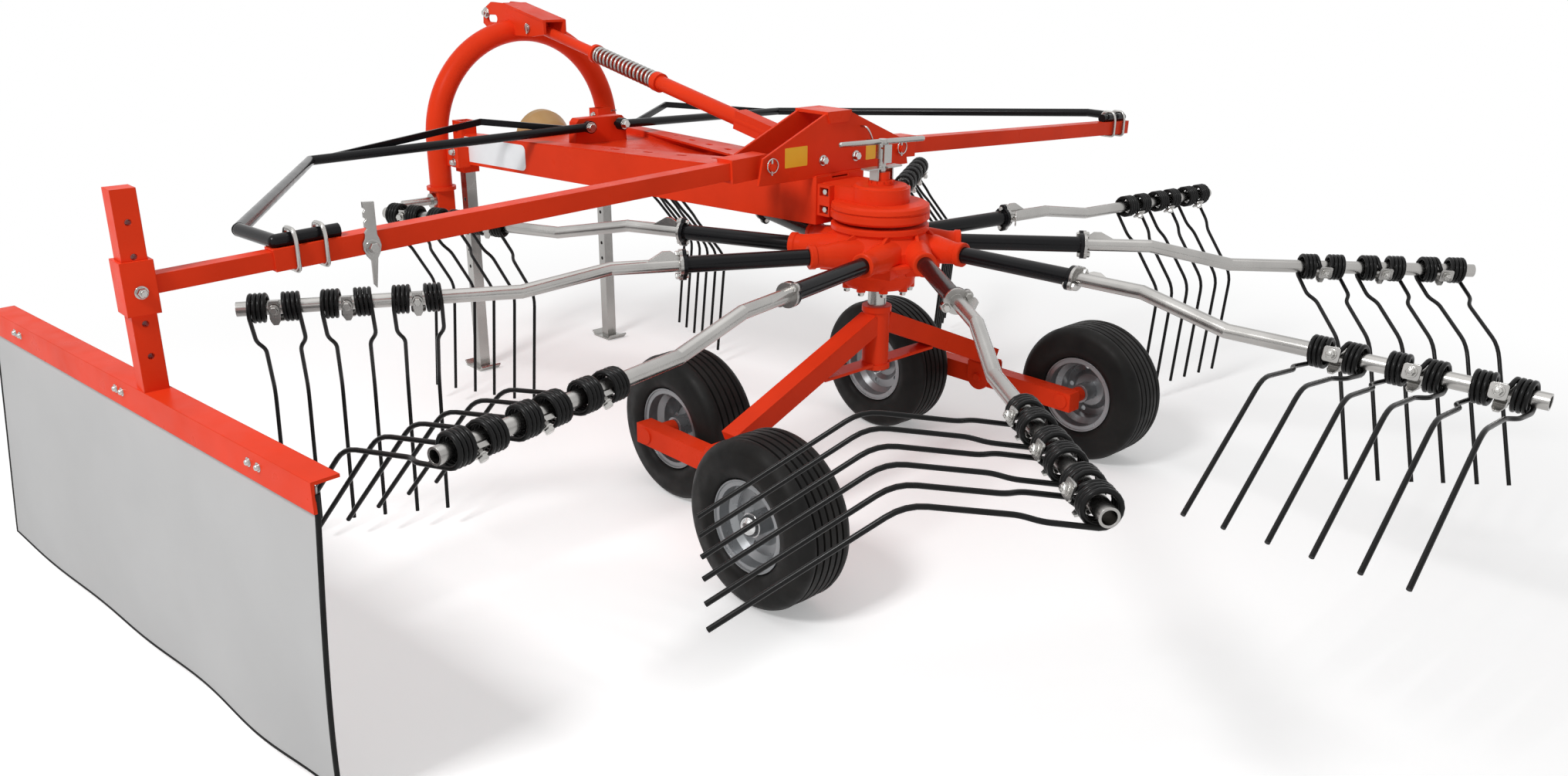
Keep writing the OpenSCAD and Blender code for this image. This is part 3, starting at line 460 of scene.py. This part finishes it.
def make_clamps():
    """A tab and a bolt on the saddle of each double tine, and a keeper with a nut over its loop."""
    plates = Piece("tine_keepers", "rotor", ZINC, "zinc")
    bolts = Piece("tine_bolts", "rotor", BOLT, "zinc")
    half_w = CLAMP_GAP / 2 - 0.0025
    for index in range(ARM_COUNT):
        for k in range(TINES_PER_ARM):
            place = arm_matrix(index) @ Matrix.Translation(
                (LAST_TINE_R - k * TINE_PITCH, BAR_SIDE, -BAR_DROP))
            plates.place = bolts.place = place
            plates.prism([(-half_w, 0.008), (half_w, 0.008), (half_w, 0.029), (0.5 * half_w, 0.038),
                          (-0.5 * half_w, 0.038), (-half_w, 0.029)], KEEPER_T,
                         (0, 0.015, 0), (1, 0, 0), (0, 0, -1))
            bolts.bolt((0, SADDLE_END - 0.001, 0), (0, 1, 0), 0.017, 0.010)
            plates.place = bolts.place = place @ Matrix.Rotation(KEEPER_TURN, 4, "X")
            face = -COIL_R - WIRE_D / 2
            plates.prism(rounded(0.034, 0.032, 0.006), KEEPER_T, (0, face, 0), (1, 0, 0), (0, 0, 1))
            bolts.bolt((0, face - KEEPER_T, 0), (0, -1, 0), 0.016, 0.008, shank=0.003)
            bolts.tube([(0, -0.012, 0), (0, face - KEEPER_T / 2, 0)], 0.004, 10)
    plates.done()
    bolts.done()


def make_arm_bolts():
    """Bolts through the ears of the arm joints, and a linch pin on one of them."""
    bolts = Piece("arm_joint_bolts", "rotor", BOLT, "zinc")
    for index in range(ARM_COUNT):
        bolts.place = arm_matrix(index)
        for z in (-EAR_OFFSET, EAR_OFFSET):
            bolts.bolt((FLANGE_FACES[1], 0, z), (1, 0, 0), 0.015, 0.009, washer=False)
            bolts.bolt((FLANGE_FACES[0], 0, z), (-1, 0, 0), 0.013, 0.007, washer=False)
    bolts.done()
    pin = Piece("arm_linch_pin", "rotor", BOLT, "zinc")
    pin.place = (arm_matrix(LINCH_PIN_ARM) @ Matrix.Translation((JOINT_R + 0.020, -0.030, 0))
                 @ Matrix.Rotation(0.75, 4, "Z"))
    pin.tube(ring_path((0, 0, 0), (1, 0, 0), (0, 0, 1), 0.021, 40), 0.0022, 8)
    pin.tube([(-0.019, 0, 0), (0.019, 0, 0)], 0.0045, 10)
    pin.done(angle=60)


# Strut spring

def make_spring():
    """Open coil on the strut's rod, closed over its first and last turn."""
    foot, head = (at(*p) for p in STRUT_ENDS)
    start, end = (foot.lerp(head, share) for share in SPRING_SHARE)
    heading = (end - start).normalized()
    side, up = unit_frame(heading)
    turns, wire_r, radius, per_turn = 16, 0.0045, 0.0235, 24
    rise = (end - start).length - 2 * wire_r
    closed = 2.3 * wire_r
    path = []
    for k in range(turns * per_turn + 1):
        t = k / per_turn
        if t < 1:
            height = closed * t
        elif t > turns - 1:
            height = rise - closed * (turns - t)
        else:
            height = closed + (rise - 2 * closed) * (t - 1) / (turns - 2)
        a = 2 * math.pi * t
        path.append(start + (height + wire_r) * heading + radius * (math.cos(a) * side + math.sin(a) * up))
    piece = Piece("strut_coil", "frame", ZINC, "zinc")
    piece.tube(path, wire_r, 12)
    piece.done(("strut_spring",), 60)


# Wheels

def tyre_outline(outer_r, bead_r, width):
    """Half-ribbed farm tyre: five grooves round the crown, a full sidewall and a bead."""
    half = width / 2
    grooves = (-0.040, -0.020, 0.0, 0.020, 0.040)
    groove_w, groove_d = 0.0030, 0.006
    crown = []
    for g in grooves:
        top = outer_r - CROWN * g * g
        crown += [(top, g - groove_w), (top - groove_d, g - 0.6 * groove_w),
                  (top - groove_d, g + 0.6 * groove_w), (top, g + groove_w)]
    shoulder = [(outer_r - 0.034 + 0.034 * math.sin(a), half - 0.038 + 0.034 * math.cos(a))
                for a in (math.radians(d) for d in range(80, 9, -14))]
    wall = [(outer_r - 0.052, half - 0.0015), (outer_r - 0.060, half), (bead_r + 0.036, half - 0.0005),
            (bead_r + 0.030, half - 0.002), (bead_r + 0.020, half - 0.006), (bead_r + 0.015, half - 0.015),
            (bead_r + 0.013, half - 0.021), (bead_r, half - 0.021)]
    far = shoulder + wall
    near = [(r, -h) for r, h in reversed(far)]
    return near + crown + far


def make_tyres():
    for end in ("rear", "front"):
        for side in ("left", "right"):
            node = f"tyre_{end}_{side}"
            low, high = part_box(node)
            piece = Piece(f"ribbed_{node}", f"{end}_{side}_wheel", RUBBER, "tyre")
            outer = (high.z - low.z) / 2
            outline = tyre_outline(outer, BEAD_R, high.y - low.y)
            piece.revolve(outline, (low + high) / 2, (0, 1, 0), 96, loop=True)
            piece.done((node,), 40)


def make_hub_caps():
    """Bright caps over the axle nuts."""
    outward = {("rear", "left"): 1, ("rear", "right"): -1, ("front", "left"): -1, ("front", "right"): 1}
    for (end, side), out in outward.items():
        low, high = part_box(f"tyre_{end}_{side}")
        piece = Piece(f"hub_cap_{end}_{side}", f"{end}_{side}_wheel", CHROME, "zinc")
        dome = [(0.0277 * math.cos(a), 0.052 + 0.0267 * math.sin(a))
                for a in (math.radians(d) for d in range(0, 86, 10))]
        piece.revolve([(0.0277, 0.0505), (0.0295, 0.0505), (0.0295, 0.0535)] + dome + [(0.0012, 0.0787)],
                      (low + high) / 2, (0, out, 0), 40)
        piece.done(angle=40)


# Curtain

def rail_matrix():
    return Matrix.Translation(at(BOOM_X, POST_Y, 0)) @ Matrix.Rotation(RAIL_TURN, 4, "Z")


def make_curtain():
    """Coated sheet behind the rail's flange: flat where it is held, slack towards its rear lower corner."""
    top, bottom = (-0.620, 0.800, 0.650), (-0.540, 1.000, 0.033)
    columns, rows, half_t = 96, 40, 0.0015

    def middle(u, v):
        x = (top[0] + (top[1] - top[0]) * u) * (1 - v) + (bottom[0] + (bottom[1] - bottom[0]) * u) * v
        slack = max(0.0, v - 0.09) ** 1.4
        rear = (1 - u) ** 2.2
        wave = (0.30 * math.sin(7.0 * u + 1.6 * v + 0.6) + 0.18 * math.sin(17.0 * u - 2.2 * v + 2.0)
                + 0.75 * rear * math.sin(19.0 * u + 3.0 * v + 1.1))
        z = top[2] + (bottom[2] - top[2]) * v + 0.004 * v * v * rear * math.sin(16.0 * u + 0.5)
        flare = -0.012 * v ** 3 * rear
        return Vector((x + flare + 0.003 * v * math.sin(6.0 * v + 2.0), 0.0160 + 0.012 * slack * wave, z))

    sheet = Piece("curtain_sheet", "swath_curtain", CLOTH, "curtain_sheet")
    sheet.place = rail_matrix()
    rings = []
    for i in range(columns + 1):
        line = [middle(i / columns, j / rows) for j in range(rows + 1)]
        rings.append([p + Vector((0, half_t, 0)) for p in line]
                     + [p - Vector((0, half_t, 0)) for p in reversed(line)])
    sheet.skin(rings)
    sheet = sheet.done(("curtain",), 60)
    edge = Piece("curtain_edge", "swath_curtain", HEM, "black_paint")
    edge.place = rail_matrix()
    steps = 60
    path = [middle(0, 0.02 + 0.98 * k / steps) for k in range(steps)]
    path += [middle(k / (2 * steps), 1) for k in range(2 * steps)]
    path += [middle(1, 1 - 0.98 * k / steps) for k in range(steps + 1)]
    edge.tube(path, 0.0038, 8)
    edge.tube(path[:steps + 1], 0.0048, 10)
    edge = edge.done(angle=60)
    screws = Piece("rail_screws", "swath_curtain", BOLT, "zinc")
    screws.place = rail_matrix()
    head = [(0.0085, -0.001), (0.0085, 0.001), (0.006, 0.0012), (0.0058, 0.004),
            (0.004, 0.0062), (0.0008, 0.007)]
    for x in RAIL_SCREWS_X:
        screws.revolve(head, (x, 0.025, RAIL_SCREWS_Z), (0, 1, 0), 20)
        screws.bolt((x, 0.0130, RAIL_SCREWS_Z), (0, -1, 0), 0.011, 0.006)
    screws.done()


# Frame trim

def rounded(width, height, radius, steps=5):
    """A rectangle's outline with round corners, about its middle."""
    outline = []
    for sx, sy, turn in ((1, 1, 0), (-1, 1, 90), (-1, -1, 180), (1, -1, 270)):
        for k in range(steps + 1):
            a = math.radians(turn + 90 * k / steps)
            outline.append((sx * (width / 2 - radius) + radius * math.cos(a),
                            sy * (height / 2 - radius) + radius * math.sin(a)))
    return outline


def ring_path(centre, across, up, radius, steps=36):
    return [Vector(centre) + radius * (math.cos(a) * Vector(across) + math.sin(a) * Vector(up))
            for a in (2 * math.pi * k / steps for k in range(steps + 1))]


def make_frame_bolts():
    """Bolts of the mast, the gearbox, the headstock's brackets, the guard pivots and the hub."""
    bolts = Piece("frame_bolts", "frame", BOLT, "zinc")
    for y in (0.057, -0.071):
        bolts.bolt(at(MAST_FACES[0], y, 0.915), (-1, 0, 0), 0.020, 0.011)
        bolts.bolt(at(MAST_FACES[1], y, 0.915), (1, 0, 0), 0.020, 0.012, shank=0.006)
    for side in (1, -1):
        for z in (0.790, 0.838):
            bolts.bolt(at(0.125, side * 0.0715, z), (0, side, 0), 0.016, 0.011)
        for x, z in ((1.655, 0.790), (1.655, 0.755)):
            bolts.bolt(at(x, side * 0.3425, z), (0, side, 0), 0.019, 0.012)
        bolts.bolt(at(1.2285, side * 0.067, 0.8933), (-0.985, side * 0.169, 0.022), 0.024, 0.013)
    bolts.done()
    hub = Piece("hub_bolts", "rotor", BOLT, "zinc")
    for index in range(ARM_COUNT):
        a = math.radians(ARM_START + index * 360 / ARM_COUNT)
        point = at(HUB_BOLTS_R * math.cos(a), HUB_BOLTS_R * math.sin(a), HUB_BOLTS_Z)
        hub.bolt(point, (0, 0, -1), 0.015, 0.009)
    hub.done()


def make_decals():
    """Blank stickers on the mast and a blank plate on the left beam."""
    stickers = Piece("mast_stickers", "frame", YELLOW, None)
    for y, z, width, height in ((0.157, 0.934, 0.082, 0.052), (-0.132, 0.922, 0.040, 0.046)):
        stickers.prism(rounded(width, height, 0.003), 0.0006, at(0.1624, y, z), (0, -1, 0), (0, 0, 1))
    stickers.done()
    plate = Piece("beam_plate", "frame", WHITE, None)
    ahead = Vector((1550, 218, 0)).normalized()
    out = Vector((-ahead.y, ahead.x, 0))
    middle = at(0.150, 0.092, 0.7985) + ahead * 1.360 + out * 0.0002
    plate.prism(rounded(0.330, 0.084, 0.018), -0.0008, middle, ahead, (0, 0, 1))
    plate.done()


def make_boom_trim():
    """U-bolts that clamp each guard rail on its boom, a notched strap on the left one, the post's bolt."""
    for side, name in ((1, "left"), (-1, "right")):
        clamps = Piece(f"guard_clamps_{name}", f"{name}_guard", BOLT, "zinc")
        loop = ((0.0285, 0.034), (0.0285, -0.0275), (-0.0285, -0.0275), (-0.0285, 0.034),
                (-0.0190, 0.0540), (0.0190, 0.0540), (0.0285, 0.030))
        for y in CLAMPS_Y:
            z = BOOM_Z - math.tan(BOOM_SLOPE) * (y - BOOM_Y)
            bend = [at(BOOM_X + dx, side * y, z + dz) for dx, dz in loop]
            clamps.tube(smooth_bends(bend, 0.011), 0.0048, 12)
        clamps.done()
    strap = Piece("boom_strap", "left_guard", ZINC, "zinc")
    notches = [(-0.012 + inset, top - drop) for top in (0.080, 0.060, 0.040)
               for inset, drop in ((0.0, 0.0), (0.005, 0.004), (0.0, 0.010))]
    right = [(0.002, -0.088), (0.010, -0.026), (0.017, -0.014), (0.020, 0.0), (0.017, 0.013), (0.013, 0.022),
             (0.013, 0.090), (-0.012, 0.092)]
    left = [(-0.014, 0.018), (-0.019, 0.008), (-0.019, -0.006), (-0.012, -0.020), (-0.004, -0.030),
            (-0.004, -0.080)]
    strap.prism(right + notches + left, 0.005, at(0.1978, STRAP_Y, 0.868), (0, -1, 0), (0, 0, 1))
    strap.bolt(at(0.1932, STRAP_Y, 0.866), (-1, 0, 0), 0.020, 0.012)
    strap.done()
    bolt = Piece("post_bolt", "reach_bar", BOLT, "zinc")
    bolt.bolt(at(0.1912, POST_Y, 0.850), (-1, 0, 0), 0.017, 0.010, shank=0.008)
    bolt.done()


def make_pins():
    """Linch pins and clips at the booms, the strut, the stands and the headstock, and a hook on the mast."""
    for side, name in ((1, "left"), (-1, "right")):
        pin = Piece(f"boom_pin_clip_{name}", f"{name}_guard", BOLT, "zinc")
        centre = at(0.1535, side * 0.2515, 0.9175)
        pin.tube([centre + Vector((0, 0, 0.024)), centre - Vector((0, 0, 0.020))], 0.0034, 10)
        pin.tube(ring_path(centre + Vector((-0.003, 0, 0.004)), (0, 1, 0), (0, 0, 1), 0.0185), 0.0018, 8)
        pin.done(angle=60)
        clip = Piece(f"stand_clip_{name}", "frame", BOLT, "zinc")
        for way in (-1, 1):
            face = at(STAND_X, side * STAND_Y + way * 0.029, 0.866)
            clip.bolt(face, (0, way, 0), 0.016, 0.008)
        grip = at(STAND_X, side * STAND_Y + side * 0.042, 0.866)
        clip.tube([grip + Vector((0, -side * 0.012, 0)), grip, grip + Vector((-0.010, 0, 0.012)),
                   grip + Vector((-0.040, 0, 0.016))], 0.0035, 10)
        clip.done(angle=60)
    heads = Piece("strut_pin_heads", "frame", BOLT, "zinc")
    washer = [(0.0101, -0.007), (0.0155, -0.007), (0.0160, -0.005), (0.0155, -0.002), (0.0101, -0.002)]
    for (x, _, z), half in zip(STRUT_ENDS, (0.047, 0.052)):
        for way in (-1, 1):
            heads.revolve(washer, at(x, way * half, z), (0, way, 0), 28)
            y = way * (half - 0.0012)
            heads.tube([at(x, y, z + 0.017), at(x, y, z - 0.019)], 0.0024, 8)
    heads.tube([at(1.884, -0.060, 1.229), at(1.884, 0.060, 1.229)], 0.0085, 20)
    for way in (-1, 1):
        heads.bolt(at(1.884, way * 0.0445, 1.229), (0, way, 0), 0.026, 0.007)
    heads.done()
    hook = Piece("mast_hook", "frame", BOLT, "zinc")
    hook.tube(smooth_bends([at(MAST_FACES[0], -0.089, 0.994), at(0.140, -0.089, 0.994),
                            at(0.134, -0.098, 0.975), at(0.140, -0.115, 0.954),
                            at(MAST_FACES[0], -0.115, 0.954)], 0.010), 0.0028, 12)
    hook.done(angle=60)


make_tines()
make_clamps()
make_arm_bolts()
make_spring()
make_tyres()
make_hub_caps()
make_curtain()
make_frame_bolts()
make_decals()
make_boom_trim()
make_pins()


# Camera, light and floor

def make_camera():
    yaw, pitch, roll = CAMERA_YAW, CAMERA_PITCH, CAMERA_ROLL
    ahead = Vector((math.cos(yaw) * math.cos(pitch), math.sin(yaw) * math.cos(pitch), -math.sin(pitch)))
    level = Vector((math.sin(yaw), -math.cos(yaw), 0))
    top = level.cross(ahead)
    right = math.cos(roll) * level + math.sin(roll) * top
    up = right.cross(ahead)
    data = bpy.data.cameras.new("camera")
    data.sensor_width = 36
    data.lens = data.sensor_width * FOCAL_PX / PHOTO_SIZE[0]
    camera = bpy.data.objects.new("camera", data)
    bpy.context.scene.collection.objects.link(camera)
    turn = Matrix((right, up, -ahead)).transposed().to_4x4()
    camera.matrix_world = Matrix.Translation(ROTOR + CAMERA_FROM_ROTOR) @ turn
    bpy.context.scene.camera = camera


def area_light(name, position, target, size, power):
    data = bpy.data.lights.new(name, "AREA")
    data.shape = "RECTANGLE"
    data.size, data.size_y = size
    data.energy = power
    lamp = bpy.data.objects.new(name, data)
    bpy.context.scene.collection.objects.link(lamp)
    lamp.location = position
    lamp.rotation_euler = (Vector(target) - Vector(position)).to_track_quat("-Z", "Y").to_euler()


def make_world():
    """White where it shows, and a softer light on the machine."""
    world = bpy.data.worlds.new("studio")
    bpy.context.scene.world = world
    world.use_nodes = True
    nodes, links = world.node_tree.nodes, world.node_tree.links
    sky = nodes["Background"]
    sky.inputs["Color"].default_value = (1, 1, 1, 1)
    level = nodes.new("ShaderNodeMapRange")
    level.inputs["To Min"].default_value = WORLD_LIGHT
    level.inputs["To Max"].default_value = 1.0
    links.new(background_rays(nodes, links), level.inputs["Value"])
    links.new(level.outputs["Result"], sky.inputs["Strength"])


def background_rays(nodes, links):
    """One for the rays that show the background: from the camera, from gloss and through glass."""
    rays = nodes.new("ShaderNodeLightPath")
    seen = rays.outputs["Is Camera Ray"]
    for name in ("Is Glossy Ray", "Is Transmission Ray"):
        total = nodes.new("ShaderNodeMath")
        total.operation = "MAXIMUM"
        links.new(seen, total.inputs[0])
        links.new(rays.outputs[name], total.inputs[1])
        seen = total.outputs[0]
    return seen


def make_floor():
    """Pale floor that goes over to the white background away from the machine."""
    size = 40
    mesh = bpy.data.meshes.new("floor")
    corners = [(-size, -size, 0), (size, -size, 0), (size, size, 0), (-size, size, 0)]
    mesh.from_pydata(corners, [], [(0, 1, 2, 3)])
    floor = bpy.data.objects.new("floor", mesh)
    bpy.context.scene.collection.objects.link(floor)
    material = new_material("pale_floor", (0.95, 0.95, 0.95), 0.9, specular=0.0)
    nodes, links = material.node_tree.nodes, material.node_tree.links
    coords = nodes.new("ShaderNodeTexCoord")
    reach = nodes.new("ShaderNodeVectorMath")
    reach.operation = "LENGTH"
    links.new(coords.outputs["Object"], reach.inputs[0])
    fade = nodes.new("ShaderNodeMapRange")
    fade.interpolation_type = "SMOOTHSTEP"
    fade.inputs["From Min"].default_value = FLOOR_FADE[0]
    fade.inputs["From Max"].default_value = FLOOR_FADE[1]
    links.new(reach.outputs["Value"], fade.inputs["Value"])
    white = nodes.new("ShaderNodeEmission")
    mixed = nodes.new("ShaderNodeMixShader")
    links.new(fade.outputs["Result"], mixed.inputs["Fac"])
    glow = nodes.new("ShaderNodeEmission")
    level = nodes.new("ShaderNodeMapRange")
    level.inputs["To Max"].default_value = FLOOR_GLOW
    links.new(background_rays(nodes, links), level.inputs["Value"])
    links.new(level.outputs["Result"], glow.inputs["Strength"])
    near = nodes.new("ShaderNodeAddShader")
    links.new(nodes["Principled BSDF"].outputs["BSDF"], near.inputs[0])
    links.new(glow.outputs["Emission"], near.inputs[1])
    links.new(near.outputs["Shader"], mixed.inputs[1])
    links.new(white.outputs["Emission"], mixed.inputs[2])
    links.new(mixed.outputs["Shader"], nodes["Material Output"].inputs["Surface"])
    mesh.materials.append(material)


make_camera()
make_world()
make_floor()
area_light("key", at(-0.4, 4.5, 4.7), at(0, 0, 0.4), (1.2, 1.2), KEY_POWER)
area_light("top", at(0.5, 0.0, 5.0), at(0, 0, 0), (5.0, 5.0), TOP_POWER)
bpy.context.scene.view_settings.view_transform = "Standard"
